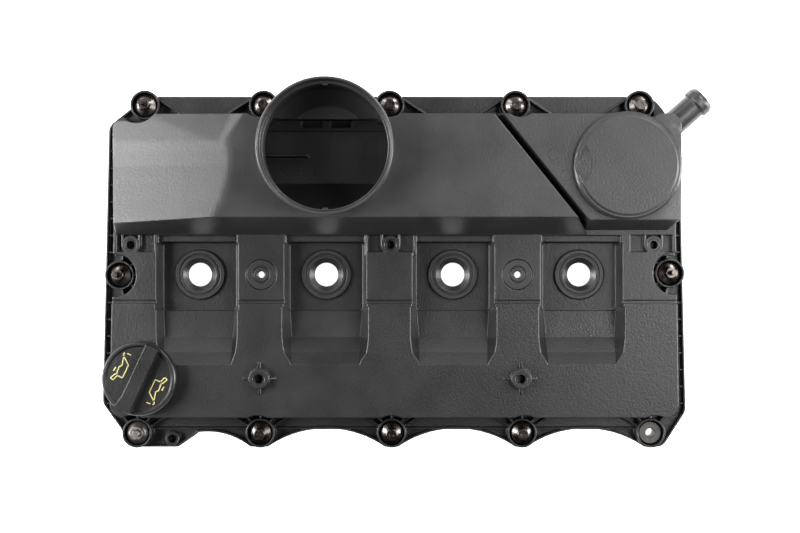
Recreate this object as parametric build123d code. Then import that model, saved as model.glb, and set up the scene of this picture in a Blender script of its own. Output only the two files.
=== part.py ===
from build123d import *
import os
from math import cos, hypot, radians, sin

# Valve cover of a four-cylinder diesel engine, with the intake plenum and the oil separator built on.
# Millimetres. Z = 0 is the sealing plane and +Z points up, off the engine. X runs along the cylinders,
# +Y is the intake side, and the origin lies midway between cylinders 2 and 3, on the injectors' line.

# ---- Engine layout ----
CYLINDERS = 4
PITCH = 95.5
injector_x = [(i - (CYLINDERS - 1) / 2) * PITCH for i in range(CYLINDERS)]
rib_x = [(i - CYLINDERS / 2 + 1) * PITCH for i in range(CYLINDERS - 1)]

# ---- Bolt positions ----
BACK_ROW_Y = 128.5
FRONT_ROW_Y = -120.2
back_row = [(x, BACK_ROW_Y) for x in (-185.5, -95.5, 0.0, 95.5, 189.5)]
front_row = [(x, FRONT_ROW_Y) for x in (-191.5, -98.0, 1.5, 100.5, 198.0)]
side_pair = [(-204.7, -0.5), (212.4, 1.0)]
bolt_points = back_row + front_row + side_pair

# ---- Levels above the sealing plane ----
FLANGE_LOW = 0.8
FLANGE_HIGH = 6.0
RIM_TOP = 13.0
SHELF_TOP = 16.0
BOSS_FLOOR = 8.0
BOSS_TOP = 20.0
WELL_FLOOR = 22.0
TROUGH_FLOOR = 26.0
LEDGE_TOP = 36.0
WELD = 42.0
REAR_TOP = 42.0
FRONT_TOP = 45.0
PANEL_TOP = 72.0
LID_TOP = 80.0
MOUTH_TOP = 105.0

# ---- Wall thicknesses and drafts ----
WALL = 3.0
DRAFT = 2.0
RIM_WALL = 1.4
RIB_WALL = 1.3
FIT_GAP = 0.15

# ---- Cover body ----
BODY_LEFT_FRONT = -209.6
BODY_LEFT_BACK = -205.2
BODY_RIGHT_FRONT = 216.6
BODY_RIGHT_BACK = 213.6
BODY_FRONT = -108.0
BODY_BACK = 119.5
BODY_CORNER = 11.0
FLANGE_FOOT = 8.0
REAR_EDGE = -20.3
GROOVE_WIDTH = 2.6
GROOVE_DEPTH = 1.6
SEAL_WIDTH = 4.2
SEAL_CLEAR = 12.8
SEAL_CLEAR_SIDE = 12.4
LOOP_WIDTH = 2.6
BOSS_CLEAR = 18.6

# ---- Flange ----
FLANGE_LEFT_BACK = -213.8
FLANGE_LEFT_FRONT = -218.6
FLANGE_RIGHT_BACK = 220.6
FLANGE_RIGHT_FRONT = 225.6
FLANGE_BACK = 135.2
FLANGE_FRONT = FRONT_ROW_Y - 11.1
FRONT_RIB_Y = -116.6
SCALLOP_TOP_Y = -117.3
SCALLOP_RADIUS = 78.0
LUG_SCALLOP_RADIUS = 52.0
LUG_SCALLOP_TOP = (-139.0, -119.6)
LADDER_PITCH = 12.8
ROOF_RIB = 2.6

# ---- Bolt bosses ----
COLLAR_RADIUS = 11.1
COLLAR_BORE = 9.6
GROMMET_HOLE = 7.0
BACK_BITE = 13.6
CORNER_BITE = 17.0
FRONT_BITE = 15.6
SIDE_BITE = 16.0

back_bites = [(*back_row[0], CORNER_BITE)] + [(x, y, BACK_BITE) for x, y in back_row[1:]]

# ---- Injector wells ----
WELL_HALF = 27.7
WELL_DRAFT = 0.145
WELL_FRONT = -27.2
WELL_BACK = 23.9
LEDGE_BACK = 29.3
SEAL_HOLE = 14.0
INJECTOR_BORE = 8.9
SEAL_RADIUS = 19.0
STUD_SEAT = 11.4
STUD_HOLE = 8.0

# ---- Intake plenum ----
PLENUM_FRONT = 29.9
PLENUM_FRONT_TOP = 42.1
PLENUM_BACK = 118.7
PLENUM_BACK_TOP = 117.5
PLENUM_LEFT = -203.2
TROUGH_FRONT = 48.0
TROUGH_FOOT = 68.6
PORT_STEP = 108.0
PORT_FLOOR = 24.0
TROUGH_BACK = 116.4
PORT_OFFSET = 11.2
PORT_LENGTH = 15.6
PORT_FRONT = 111.2
PORT_WIDTH = 5.2
DUCT_WALL = 2.5
DUCT_LOW = 13.0
DUCT_TOE = 115.2
DUCT_BACK = 118.0
CHAMBER_HALF = 19.2
CHAMBER_FRONT = 120.4
CHAMBER_BACK = 129.4
CHAMBER_TOP = 12.0
MOUTH_X = -45.7
MOUTH_Y = 92.0
MOUTH_RADIUS = 49.1
MOUTH_BORE = 47.3
MOUTH_THROAT = 45.0
MOUTH_LEDGE = 91.0
TAB_HALF = 1.9
TAB_REACH = 1.2
MOUTH_TUBE = 48.0
CONE_RADIUS = 36.0
CONE_LOW = 44.0
CONE_HIGH = 58.0
INNER_RIB = (-93.0, -61.0)
INNER_RIB_Y = 88.0

# Facets of the plenum's left end, each through three points: the long one, the one at the back,
# and the leaning end wall
facets = [
    [(-117.1, 90.8, PANEL_TOP), (-128.0, 40.6, PANEL_TOP), (-202.0, 76.9, 60.0)],
    [(-171.2, 115.0, 63.3), (-127.0, 98.0, 70.3), (-107.1, 116.8, PANEL_TOP)],
]
end_wall = [(PLENUM_LEFT, 0.0, WELD), (PLENUM_LEFT - 1.0, 100.0, WELD), (PLENUM_LEFT + 1.0, 0.0, 60.0)]

# Rounded rear corner of the plenum's left end
END_BACK = 113.2
END_RADIUS = 4.0

# Diagonal gap between the plenum and the separator, along the plenum's edge
GAP_START = (79.1, 114.6)
GAP_END = (138.8, 40.6)
GAP_TOP = 5.0
GAP_FOOT = 1.2

# ---- Oil separator and vent valve ----
SEPARATOR_RIGHT = 212.8
SEPARATOR_CORNER = 9.0
SEPARATOR_FRONT = 33.2
SEPARATOR_FRONT_TOP = 39.9
LID_X = 173.3
LID_Y = 79.2
LID_RADIUS = 39.2
LID_ROOM = 33.0
# Shallow conical scoop at the lid's left edge
SCOOP_X = 123.5
SCOOP_Y = 80.8
SCOOP_RADIUS = 23.1
CUP_FLOOR = 60.0
CUP_WALL = 2.0
OUTLET_RADIUS = 8.0
OUTLET_BORE = 6.0
OUTLET_TOP = 66.0
GAS_HOLE = 4.0
oil_drains = [(150.0, 62.0), (198.0, 58.0)]
DRAIN_RADIUS = 3.0
DIAPHRAGM_RADIUS = 35.0
DIAPHRAGM_RIM = 1.0
VALVE_RADIUS = 15.0
VALVE_LOW = 69.3
VALVE_HIGH = 71.0
BODY_GAP = 0.3
STUB_ANGLE = 41.5
STUB_Z = 57.0
STUB_START = (205.5, 108.0)
STUB_LENGTH = 33.5
STUB_RADIUS = 9.4
STUB_BORE = 6.9
BEAD_RADIUS = 10.9
BEAD_LENGTH = 9.0

# ---- Filler neck and cap ----
FILLER_X = -184.0
FILLER_Y = -76.4
NECK_RADIUS = 20.0
NECK_BORE = 17.0
NECK_TOP = 54.0
CAP_RADIUS = 27.1
CAP_LOW = 50.5
CAP_DECK = 59.0
CAP_RIM = 60.6
GRIP_TOP = 68.0
GRIP_ANGLE = 65.0
GRIP_WIDTH = 11.4
GRIP_FLARE = 2.6
GRIP_FLARE_START = 16.2
PLUG_RADIUS = NECK_BORE - 0.4
PLUG_LOW = NECK_TOP - 12.0
CAP_SKIRT = 3.0

# ---- Fasteners ----
GROMMET_TOP = 14.0
SLEEVE_FLANGE = 1.5
SLEEVE_TOP = GROMMET_TOP + SLEEVE_FLANGE
SLEEVE_RADIUS = 5.2
SLEEVE_BORE = 3.35
BOLT_FLANGE = 8.4
BOLT_LENGTH = 15.0
SHANK_RADIUS = 2.95
HEX_ACROSS = 8.0
HEX_HEIGHT = 9.5
STUD_RADIUS = 1.9
STUD_TOP = 22.0
PILOT_ACROSS = 10.0
PILOT_HEIGHT = 8.5
LEAN_HEIGHT = 8.0
# x, y, direction of the lean in degrees from +X, and the lean in degrees
flange_bolt_places = [
    (*back_row[1], 150.0, 0.6),
    (*back_row[2], 30.0, 1.4),
    (*back_row[3], 20.0, 1.0),
    (*back_row[4], 10.0, 1.8),
    (*front_row[1], 215.0, 2.2),
    (*front_row[2], 275.0, 2.0),
    (*front_row[3], 325.0, 2.2),
]
stud_bolt_places = [
    (*back_row[0], 145.0, 2.2),
    (*side_pair[0], 160.0, 2.0),
    (*side_pair[1], 40.0, 1.6),
]

# ---- Screw bosses ----
SCREW_Y = 22.2
screw_bosses = [(-192.7, SCREW_Y), (0.8, SCREW_Y), (196.8, SCREW_Y)]
SCREW_RADIUS = 6.9
RECESS_HALF = 17.4
RECESS_LEFT = -203.0
RECESS_RIGHT = 210.9
RECESS_FRONT = 17.0
RECESS_BACK = PLENUM_FRONT - 0.3
RECESS_FLOOR = REAR_TOP - 6
INSERT_RADIUS = 4.3
INSERT_BORE = 3.1
INSERT_LENGTH = 9.0
panel_bosses = [(-96.6, -77.0), (97.6, -77.0)]
PANEL_BOSS_RADIUS = 7.5
PANEL_BOSS_TOP = 53.0
PANEL_RIB_REACH = 12.0
LUG_X = -165.6
LUG_Y = -125.2
LUG_RADIUS = 5.6


def rounded(points, radius):
    """Flat face inside the closed outline through the points, its corners rounded."""
    return make_face(FilletPolyline(*points, radius=radius, close=True).edges())


def box(x0, x1, y0, y1, z0, z1):
    """Straight box between two corners."""
    return Pos((x0 + x1) / 2, (y0 + y1) / 2, (z0 + z1) / 2) * Box(x1 - x0, y1 - y0, z1 - z0)


def rod(x, y, radius, z0, z1):
    """Upright cylinder."""
    return Pos(x, y, (z0 + z1) / 2) * Cylinder(radius, z1 - z0)


def tube(x, y, outer, inner, z0, z1):
    """Upright tube."""
    return rod(x, y, outer, z0, z1) - rod(x, y, inner, z0 - 1, z1 + 1)


def prism(points, z0, z1):
    """Upright prism on a plan outline."""
    return extrude(Pos(0, 0, z0) * make_face(Polyline(*points, close=True).edges()), amount=z1 - z0)


def cross_prism(points, x0, x1):
    """Prism along X on an outline given as (y, z) points."""
    face = Plane.YZ * make_face(Polyline(*points, close=True).edges())
    return extrude(Pos(x0, 0, 0) * face, amount=x1 - x0)


def turned(points, x, y):
    """Solid of revolution about an upright axis, on an outline given as (radius, z) points."""
    face = Plane.XZ * make_face(Polyline(*points, close=True).edges())
    return Pos(x, y, 0) * revolve(face, Axis.Z)


# ------------------------------------------------------------------------------------------------
# Cover body: a hollow moulding, open below
# ------------------------------------------------------------------------------------------------

def body_outline(inset):
    """Plan outline of the body's wall at the sealing plane, moved inwards by inset."""
    points = [
        (BODY_LEFT_FRONT + inset, BODY_FRONT + inset),
        (BODY_RIGHT_FRONT - inset, BODY_FRONT + inset),
        (BODY_RIGHT_BACK - inset, BODY_BACK - inset),
        (BODY_LEFT_BACK + inset, BODY_BACK - inset),
    ]
    return rounded(points, BODY_CORNER - min(inset, BODY_CORNER - 3))


def well_cut(x, grow):
    """Room of one injector well and the sloping pocket in front of it; grow adds the wall below and around."""
    low = WELL_FLOOR - grow
    high = FRONT_TOP + 5
    spread = WELL_DRAFT * (high - WELL_FLOOR)
    foot = rounded_box_face(x, WELL_HALF + grow, WELL_FRONT - grow, WELL_BACK + grow, low)
    mouth = rounded_box_face(
        x, WELL_HALF + spread + grow, WELL_FRONT - grow, WELL_BACK + grow + spread / 3, high
    )
    well = loft([foot, mouth], ruled=True)
    return well + pocket_cut(x, grow) + box(
        x - WELL_HALF - 2 - grow, x + WELL_HALF + 2 + grow, WELL_BACK - 2, LEDGE_BACK + grow,
        LEDGE_TOP - grow, high,
    )


def rounded_box_face(x, half, y0, y1, z):
    """Rectangle with small round corners at height z."""
    return Pos(x, (y0 + y1) / 2, z) * RectangleRounded(2 * half, y1 - y0, 2.5)


def pocket_cut(x, grow):
    """Sloping pocket from the well's floor up to the front panel, narrowing as it runs out."""
    # y, floor height, half width of the floor, half width at the panel's surface
    stations = [
        (WELL_FRONT + 3.2, WELL_FLOOR + 2, WELL_HALF, 32.0),
        (-46.8, 30.5, 25.8, 32.0),
        (-58.0, 38.0, 25.5, 30.6),
        (-67.1, FRONT_TOP, 25.4, 25.8),
    ]
    slim = 2.0 if x == injector_x[0] else 0.0
    rise = 5.0
    parts = []
    for near, far in zip(stations, stations[1:]):
        faces = []
        for y, floor, half, wide in (near, far):
            half_top = max(wide - slim, half + 0.4)
            lean = (half_top - half) / max(FRONT_TOP - floor, 3.0)
            top = FRONT_TOP + rise
            half_high = half_top + lean * rise
            corners = [
                (x - half - grow, floor - grow),
                (x + half + grow, floor - grow),
                (x + half_high + grow, top),
                (x - half_high - grow, top),
            ]
            wire = Polyline(*[(cx, y, cz) for cx, cz in corners], close=True)
            faces.append(make_face(wire.edges()))
        parts.append(loft(faces, ruled=True))
    if grow:
        last = stations[-1]
        half = last[2] + grow
        parts.append(box(x - half, x + half, last[0] - grow, last[0], last[1] - grow, FRONT_TOP + rise))
    return parts[0].fuse(*parts[1:])


def trough_outline(grow):
    """Floor of the plenum, as a (y, z) section; grow adds the wall below it."""
    lift = 60.0
    return [
        (TROUGH_FRONT - grow, WELD - grow),
        (TROUGH_FOOT - grow, TROUGH_FLOOR - grow),
        (PORT_STEP - grow, TROUGH_FLOOR - grow),
        (PORT_STEP, PORT_FLOOR - grow),
        (TROUGH_BACK + grow, PORT_FLOOR - grow),
        (TROUGH_BACK + grow, lift),
        (TROUGH_FRONT - grow, lift),
    ]


def gap_line(shift):
    """Two plan points on the diagonal gap's line, moved by shift towards the separator."""
    run = hypot(GAP_END[0] - GAP_START[0], GAP_END[1] - GAP_START[1])
    along = ((GAP_END[0] - GAP_START[0]) / run, (GAP_END[1] - GAP_START[1]) / run)
    across = (-along[1], along[0])
    reach = 40.0
    start = (GAP_START[0] - along[0] * reach, GAP_START[1] - along[1] * reach)
    end = (GAP_END[0] + along[0] * reach, GAP_END[1] + along[1] * reach)
    return (
        (start[0] + across[0] * shift, start[1] + across[1] * shift),
        (end[0] + across[0] * shift, end[1] + across[1] * shift),
    )


def left_of_gap(shift, z0, z1):
    """Everything on the plenum's side of the gap line moved by shift."""
    start, end = gap_line(shift)
    return prism([start, end, (end[0], -20), (-260, -20), (-260, start[1])], z0, z1)


def flange_plan():
    """Outline of the flange, with scallops between the front bosses."""
    points = [
        (FLANGE_LEFT_FRONT, -98.0),
        (-203.5, -119.0),
        (-203.5, FLANGE_FRONT),
        (208.0, FLANGE_FRONT),
        (FLANGE_RIGHT_FRONT, -104.0),
        (FLANGE_RIGHT_BACK, 108.0),
        (203.0, 131.5),
        (189.5, FLANGE_BACK),
        (-185.5, FLANGE_BACK),
        (-200.0, 124.0),
        (FLANGE_LEFT_BACK, 113.0),
    ]
    plan = rounded(points, [10, 8, 9, 9, 10, 14, 10, 5, 5, 8, 10])
    for (left, _), (right, _) in zip(front_row[1:], front_row[2:]):
        middle = (left + right) / 2
        plan -= Pos(middle, SCALLOP_TOP_Y - SCALLOP_RADIUS) * Circle(SCALLOP_RADIUS)
    plan -= Pos(LUG_SCALLOP_TOP[0], LUG_SCALLOP_TOP[1] - LUG_SCALLOP_RADIUS) * Circle(LUG_SCALLOP_RADIUS)
    # The screw lug beside the front left boss keeps the flange's full depth, then slants back
    lug = [
        (front_row[0][0], -115.0), (front_row[0][0], FLANGE_FRONT), (LUG_X + 4.6, FLANGE_FRONT),
        (-146.0, -120.8), (-146.0, -115.0),
    ]
    plan += rounded(lug, [1.0, 1.0, 4.0, 2.0, 1.0])
    for x, y in bolt_points:
        plan += Pos(x, y) * Circle(COLLAR_RADIUS)
    return plan


def shelf_blocks(left, right):
    """Raised shelf along the back between two bosses, with a thin rib along each slanted end."""
    # Offsets from a boss: where the slanted edge starts beside it, and where it runs into the wall
    start = (9.7, 4.0)
    end = (32.7, -11.0)
    run = hypot(end[0] - start[0], end[1] - start[1])
    across = ((start[1] - end[1]) / run * RIB_WALL, (end[0] - start[0]) / run * RIB_WALL)
    blocks = [
        prism(
            [
                (left + start[0], FLANGE_BACK),
                (right - start[0], FLANGE_BACK),
                (right - start[0], BACK_ROW_Y + start[1]),
                (right - end[0], BACK_ROW_Y + end[1]),
                (left + end[0], BACK_ROW_Y + end[1]),
                (left + start[0], BACK_ROW_Y + start[1]),
            ],
            FLANGE_LOW, SHELF_TOP,
        )
    ]
    for x, side in ((left, 1), (right, -1)):
        rib = [
            (x + side * start[0], BACK_ROW_Y + start[1]),
            (x + side * end[0], BACK_ROW_Y + end[1]),
            (x + side * (end[0] + across[0]), BACK_ROW_Y + end[1] + across[1]),
            (x + side * (start[0] + across[0]), BACK_ROW_Y + start[1] + across[1]),
        ]
        blocks.append(prism(rib, FLANGE_LOW, SHELF_TOP + 1.5))
    return blocks


def seal_plan(shrink):
    """Plan of the gasket: a ring under the body's wall with a loop round each pair of intake ports."""
    outer = body_outline(2.0)
    for x, y in bolt_points:
        reach = SEAL_CLEAR_SIDE if (x, y) in side_pair else SEAL_CLEAR
        outer -= Pos(x, y) * Circle(reach)
    inner = offset(outer, amount=-SEAL_WIDTH)
    ring = outer - inner
    band = LOOP_WIDTH
    for x in injector_x:
        y0 = CHAMBER_FRONT - 1.2 - 4.0
        y1 = CHAMBER_BACK + 1.2 + band
        half = CHAMBER_HALF + 1.2 + band
        loop = Pos(x, (y0 + y1) / 2) * RectangleRounded(2 * half, y1 - y0, 3.5)
        window_y = CHAMBER_FRONT - 1.2
        window_top = CHAMBER_BACK + 1.2
        window = Pos(x, (window_y + window_top) / 2) * RectangleRounded(
            2 * (half - band), window_top - window_y, 1.5
        )
        ring = (ring + loop) - window
    return offset(ring, amount=-shrink) if shrink else ring


def cover_body():
    height = FRONT_TOP - FLANGE_LOW
    outer = extrude(Pos(0, 0, FLANGE_LOW) * body_outline(0), amount=height, taper=DRAFT)
    inner = extrude(Pos(0, 0, FLANGE_LOW) * body_outline(WALL), amount=height - WALL, taper=DRAFT)

    # The rear half, behind the cross groove, lies lower than the front panel
    outer_cuts = [box(-260, 260, REAR_EDGE, 200, REAR_TOP, FRONT_TOP + 5)]
    inner_cuts = [box(-260, 260, REAR_EDGE - WALL, 200, REAR_TOP - WALL, FRONT_TOP)]
    outer_cuts.append(
        box(
            -260, 260, REAR_EDGE - GROOVE_WIDTH / 2, REAR_EDGE + GROOVE_WIDTH / 2,
            REAR_TOP - GROOVE_DEPTH, FRONT_TOP + 5,
        )
    )

    # Injector wells with their pockets, and the trough that is the plenum's floor
    for x in injector_x:
        outer_cuts.append(well_cut(x, 0))
        inner_cuts.append(well_cut(x, WALL))
    trough = cross_prism(trough_outline(0), PLENUM_LEFT + WALL + 1, 200) & left_of_gap(-WALL - 2, 0, 70)
    outer_cuts.append(trough - [rod(x, y, radius + WALL, 0, 70) for x, y, radius in back_bites])
    inner_cuts.append(cross_prism(trough_outline(WALL), PLENUM_LEFT, 200) & left_of_gap(-2, 0, 70))

    # Recesses for the bolt bosses
    bites = back_bites + [(x, y, FRONT_BITE) for x, y in front_row]
    bites += [(x, y, SIDE_BITE) for x, y in side_pair]
    for x, y, radius in bites:
        outer_cuts.append(rod(x, y, radius, FLANGE_HIGH, FRONT_TOP + 5))
        inner_cuts.append(rod(x, y, radius + WALL, -1, FRONT_TOP + 5))
    inner = inner - inner_cuts
    shell = outer - (outer_cuts + [inner])

    # Flange plate with the thick foot of the wall, rim, and rib along the front bosses
    plan = flange_plan()
    plate = plan - inner_foot_plan()
    rim = plan - offset(plan, amount=-RIM_WALL)
    added = [
        extrude(Pos(0, 0, FLANGE_LOW) * plate, amount=FLANGE_HIGH - FLANGE_LOW),
        extrude(Pos(0, 0, FLANGE_LOW) * rim, amount=RIM_TOP - FLANGE_LOW),
        box(
            front_row[0][0], front_row[-1][0], FRONT_RIB_Y - RIB_WALL, FRONT_RIB_Y,
            FLANGE_LOW + 1, RIM_TOP,
        ),
    ]
    for left, right in zip(back_row, back_row[1:]):
        added += shelf_blocks(left[0], right[0])
    added += ladder_ribs()
    corner_web = [
        (198.7, 134.4), (203.6, 130.9), (208.0, 125.6), (210.0, 122.2), (210.0, 114.0), (201.7, 114.0),
        (200.6, 128.5),
    ]
    added.append(prism(corner_web, FLANGE_LOW, RIM_TOP + 1))

    # Bolt bosses: collar and short ribs towards the body
    for x, y in bolt_points:
        added.append(rod(x, y, COLLAR_RADIUS, FLANGE_LOW, BOSS_TOP))
    for x, y in front_row:
        for angle in (50, 90, 130):
            added.append(boss_rib(x, y, angle, FRONT_BITE + 1))
        for side in (-1, 1):
            if front_row[0][0] < x + side * 20 < front_row[-1][0]:
                added.append(slanted_rib(x, y, side))
    for x, y in side_pair:
        facing = 0 if x < 0 else 180
        for angle in (-80, -40, 0, 40, 80):
            added.append(boss_rib(x, y, facing + angle, SIDE_BITE + 1))
    for x in (rib_x[0], rib_x[-1]):
        added.append(rod(x, 0, STUD_SEAT + 1.4, REAR_TOP - 7, REAR_TOP))
    added.append(rod(FILLER_X, FILLER_Y, NECK_RADIUS, FRONT_TOP - WALL, NECK_TOP))
    added.append(
        box(INNER_RIB[0], INNER_RIB[1], INNER_RIB_Y, INNER_RIB_Y + RIB_WALL, TROUGH_FLOOR - 1, FRONT_TOP)
    )
    added += roof_ribs()
    added += [port_duct(x) for x in injector_x]
    added += screw_boss_bodies()

    # Bores and ports
    cut = []
    for x, y in bolt_points:
        cut.append(rod(x, y, COLLAR_BORE, BOSS_FLOOR, FRONT_TOP + 5))
        cut.append(rod(x, y, GROMMET_HOLE, 0, BOSS_FLOOR + 1))
    for x in injector_x:
        for side in (-1, 1):
            cut.append(port_cut(x + side * PORT_OFFSET))
        cut.append(
            box(x - CHAMBER_HALF, x + CHAMBER_HALF, CHAMBER_FRONT, CHAMBER_BACK, -1, CHAMBER_TOP)
        )
        cut.append(rod(x, 0, SEAL_HOLE, 0, WELL_FLOOR + 1))
    for x in (rib_x[0], rib_x[-1]):
        cut.append(rod(x, 0, STUD_SEAT, REAR_TOP - 3, REAR_TOP + 1))
        cut.append(rod(x, 0, STUD_HOLE, REAR_TOP - 8, REAR_TOP + 1))
    cut.append(rod(FILLER_X, FILLER_Y, NECK_BORE, FRONT_TOP - WALL - 5, NECK_TOP + 1))
    cut.append(rod(LID_X, LID_Y, OUTLET_BORE, REAR_TOP - WALL - 1, REAR_TOP + 1))
    for x, y in oil_drains:
        cut.append(rod(x, y, DRAIN_RADIUS, REAR_TOP - WALL - 1, REAR_TOP + 1))
    cut += screw_boss_cuts()
    cut.append(extrude(seal_plan(0), amount=FLANGE_LOW + 3.2))
    return shell.fuse(*added).clean().cut(*cut).clean()


def roof_ribs():
    """Shallow stiffening ribs under the front panel."""
    low = FRONT_TOP - WALL - ROOF_RIB
    high = FRONT_TOP - WALL + 0.5
    ribs = [box(BODY_LEFT_FRONT + 5, BODY_RIGHT_FRONT - 5, y, y + RIB_WALL, low, high) for y in (-94.0, -82.0)]
    for k in range(-8, 9):
        x = (k + 0.5) * PITCH / 4
        ribs.append(box(x, x + RIB_WALL, -103.8, -73.0, low, high))
    return ribs


def ladder_ribs():
    """Short ribs between the rim and the body's side walls."""
    ribs = []
    sides = [
        (FLANGE_LEFT_BACK, FLANGE_LEFT_FRONT, BODY_LEFT_BACK, BODY_LEFT_FRONT, 1),
        (FLANGE_RIGHT_BACK, FLANGE_RIGHT_FRONT, BODY_RIGHT_BACK, BODY_RIGHT_FRONT, -1),
    ]
    for rim_back, rim_front, wall_back, wall_front, inward in sides:
        for k in range(17):
            y = 106.5 - k * LADDER_PITCH
            if abs(y) < COLLAR_RADIUS + 5:
                continue
            share = (BODY_BACK - y) / (BODY_BACK - BODY_FRONT)
            rim_x = rim_back + (rim_front - rim_back) * share + inward * 0.8
            wall_x = wall_back + (wall_front - wall_back) * share + inward * 1.5
            ribs.append(
                box(
                    min(rim_x, wall_x), max(rim_x, wall_x), y - RIB_WALL / 2, y + RIB_WALL / 2,
                    FLANGE_LOW + 1, RIM_TOP - 1,
                )
            )
    return ribs


def inner_foot_plan():
    """Opening inside the thick foot of the wall."""
    plan = body_outline(FLANGE_FOOT)
    for x, y in bolt_points:
        plan -= Pos(x, y) * Circle(BOSS_CLEAR)
    return plan


def boss_rib(x, y, angle, reach):
    """Thin upright rib from a boss's collar outwards."""
    rib = Pos(reach / 2 + 5, 0, (FLANGE_HIGH + BOSS_TOP) / 2 - 1) * Box(
        reach - 10, RIB_WALL, BOSS_TOP - FLANGE_HIGH
    )
    return Pos(x, y, 0) * Rot(0, 0, angle) * rib


def slanted_rib(x, y, side):
    """Low rib from a front boss's collar to the foot of the body's wall."""
    return prism(
        [
            (x + side * 8.0, y + 3.6), (x + side * 20.5, y + 10.6),
            (x + side * 20.5, y + 12.0), (x + side * 8.0, y + 5.0),
        ],
        FLANGE_LOW + 1, RIM_TOP,
    )


def port_cut(x):
    """Slot that starts in the trough's floor and slants back into the port chamber."""
    points = [
        (PORT_FRONT, PORT_FLOOR + 0.5),
        (PORT_FRONT, 14.0),
        (CHAMBER_FRONT, 4.0),
        (CHAMBER_FRONT + 1, 4.0),
        (CHAMBER_FRONT + 1, CHAMBER_TOP - 0.5),
        (PORT_FRONT + PORT_WIDTH, 17.5),
        (PORT_FRONT + PORT_WIDTH, PORT_FLOOR + 0.5),
    ]
    return cross_prism(points, x - PORT_LENGTH / 2, x + PORT_LENGTH / 2)


def port_duct(x):
    """Solid block inside the body that the two slanting slots of one cylinder run through."""
    half = PORT_OFFSET + PORT_LENGTH / 2 + DUCT_WALL
    points = [
        (PORT_FRONT - DUCT_WALL, PORT_FLOOR - 2),
        (PORT_FRONT - DUCT_WALL, DUCT_LOW),
        (DUCT_TOE, FLANGE_HIGH),
        (DUCT_TOE, FLANGE_HIGH - 1),
        (DUCT_BACK, FLANGE_HIGH - 1),
        (DUCT_BACK, PORT_FLOOR - 2),
    ]
    return cross_prism(points, x - half, x + half)


def screw_recess(x):
    """Left and right limits of the recess round a screw boss; the outer ones end at the side walls."""
    left = RECESS_LEFT if x < injector_x[0] else x - RECESS_HALF
    right = RECESS_RIGHT if x > injector_x[-1] else x + RECESS_HALF
    return left, right


def screw_boss_bodies():
    """Backing below the recesses, the two ribbed bosses on the front panel and the front lug."""
    added = []
    for x, y in screw_bosses:
        x0, x1 = screw_recess(x)
        added.append(
            box(x0 - 2, x1 + 2, RECESS_FRONT - WALL, 33.0, RECESS_FLOOR - WALL, REAR_TOP - WALL)
        )
        added.append(rod(x, y, SCREW_RADIUS, REAR_TOP - 14, REAR_TOP))
    for x, y in panel_bosses:
        added.append(rod(x, y, PANEL_BOSS_RADIUS, FRONT_TOP - 5, PANEL_BOSS_TOP))
        gusset = [
            (-PANEL_RIB_REACH, FRONT_TOP - 1), (PANEL_RIB_REACH, FRONT_TOP - 1),
            (PANEL_RIB_REACH, FRONT_TOP + 1), (PANEL_BOSS_RADIUS, PANEL_BOSS_TOP - 1),
            (-PANEL_BOSS_RADIUS, PANEL_BOSS_TOP - 1), (-PANEL_RIB_REACH, FRONT_TOP + 1),
        ]
        blade = Pos(-RIB_WALL / 2, 0, 0) * cross_prism(gusset, 0, RIB_WALL)
        added.append(Pos(x, y, 0) * blade)
        added.append(Pos(x, y, 0) * Rot(0, 0, 90) * blade)
    added.append(rod(LUG_X, LUG_Y, LUG_RADIUS, FLANGE_LOW, RIM_TOP))
    return added


def screw_boss_cuts():
    """Recess round each screw boss, which leaves the boss and its two U walls, and the insert holes."""
    cut = []
    for x, y in screw_bosses:
        x0, x1 = screw_recess(x)
        kept = [rod(x, y, SCREW_RADIUS, 0, 60)]
        for side in (-1, 1):
            wall_x = x + side * (SCREW_RADIUS - RIB_WALL / 2)
            kept.append(box(wall_x - RIB_WALL / 2, wall_x + RIB_WALL / 2, y, 40.0, 0, 60))
        recess = box(x0, x1, RECESS_FRONT, RECESS_BACK, RECESS_FLOOR, REAR_TOP + 1)
        between = box(
            x - SCREW_RADIUS + RIB_WALL, x + SCREW_RADIUS - RIB_WALL, y, RECESS_BACK,
            RECESS_FLOOR - 1, REAR_TOP + 1,
        )
        cut.append((recess + between) - kept)
        cut.append(rod(x, y, INSERT_RADIUS, REAR_TOP - 11, REAR_TOP + 1))
    for x, y in panel_bosses:
        cut.append(rod(x, y, INSERT_RADIUS, PANEL_BOSS_TOP - 11, PANEL_BOSS_TOP + 1))
    cut.append(rod(LUG_X, LUG_Y, INSERT_RADIUS, RIM_TOP - 10, RIM_TOP + 1))
    return cut


# ------------------------------------------------------------------------------------------------
# Intake plenum: upper moulding welded on the body
# ------------------------------------------------------------------------------------------------

def beyond(points, facing, drop):
    """Big block past the plane through three points, on its side that faces the given way."""
    a, b, c = [Vector(*point) for point in points]
    normal = (b - a).cross(c - a).normalized()
    if normal.dot(Vector(*facing)) < 0:
        normal = normal * -1
    plane = Plane(origin=a - normal * drop, x_dir=b - a, z_dir=normal)
    return plane * Pos(0, 0, 200) * Box(1000, 1000, 400)


def panel_section(front, front_top, back, back_top, inset):
    """Section (y, z) of a raised panel; with inset, the room inside its walls, open below."""
    lean = (front_top - front) / (PANEL_TOP - WELD)
    side = inset * hypot(1, lean)
    top = PANEL_TOP - inset
    low = WELD - inset
    return [
        (front + lean * (low - WELD) + side, low),
        (front + lean * (top - WELD) + side, top),
        (back_top - inset, top),
        (back - inset, low),
    ]


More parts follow.
